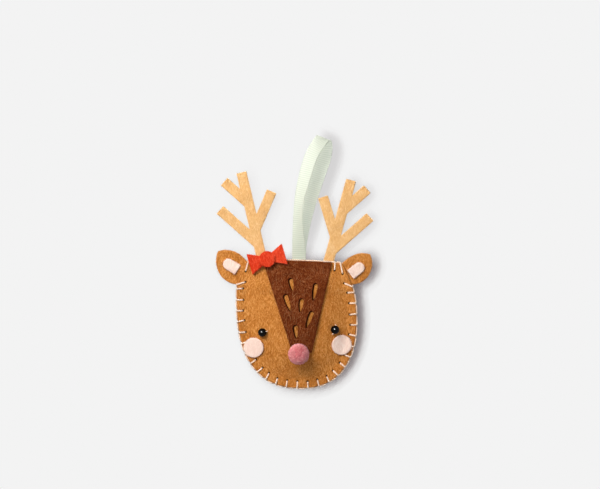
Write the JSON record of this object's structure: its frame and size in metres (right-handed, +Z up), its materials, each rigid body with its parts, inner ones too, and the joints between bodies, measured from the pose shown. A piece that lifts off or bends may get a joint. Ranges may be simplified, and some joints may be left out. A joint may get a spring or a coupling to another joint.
{
  "type": "felt christmas ornament",
  "caption": "Stuffed felt reindeer head ornament with felt antlers, ears, bow, bead eyes, pom-pom nose and blanket-stitched edge, hung from a folded grosgrain ribbon loop.",
  "frame": {"origin": "inside top of the ribbon loop, where a hook or twig carries the ornament", "axes": "+Z up along the hanging head, +Y from the face towards the back, +X towards the viewer's right"},
  "size_m": [0.1101, 0.0323, 0.1784],
  "materials": {
    "camel_felt": "warm camel wool-blend felt, matte and fuzzy",
    "brown_felt": "dark chestnut felt, matte",
    "gold_felt": "pale gold felt, matte",
    "pink_felt": "pale blush felt, matte",
    "red_felt": "orange-red felt, matte",
    "pompom_yarn": "rose pom-pom of fine tufts",
    "cream_thread": "cream embroidery thread with a soft sheen",
    "black_bead": "round glossy black bead",
    "grosgrain_ribbon": "pale mint grosgrain with fine cross ribs",
    "filling": "white loose polyester filling"
  },
  "bodies": {
    "hanger": {"ribbon_loop": "grosgrain_ribbon"},
    "head": {"front_panel": "camel_felt", "back_panel": "camel_felt", "ear_left": "camel_felt", "ear_right": "camel_felt", "forehead_patch": "brown_felt", "antler_left": "gold_felt", "antler_right": "gold_felt", "ear_lining_left": "pink_felt", "ear_lining_right": "pink_felt", "cheek_left": "pink_felt", "cheek_right": "pink_felt", "bow_tails": "red_felt", "bow_knot": "red_felt", "nose_pompom": "pompom_yarn", "blanket_stitch": "cream_thread", "eye_thread_left": "cream_thread", "eye_thread_right": "cream_thread", "eye_bead_left": "black_bead", "eye_bead_right": "black_bead", "ribbon_stub": "grosgrain_ribbon", "stuffing": "filling"}
  },
  "joints": [
    {"name": "head_swing", "type": "hinge", "parent": "hanger", "child": "head", "pos_m": [-0.0178, 0, -0.0827], "axis": [1, 0, 0], "range_deg": [-75, 75]}
  ]
}
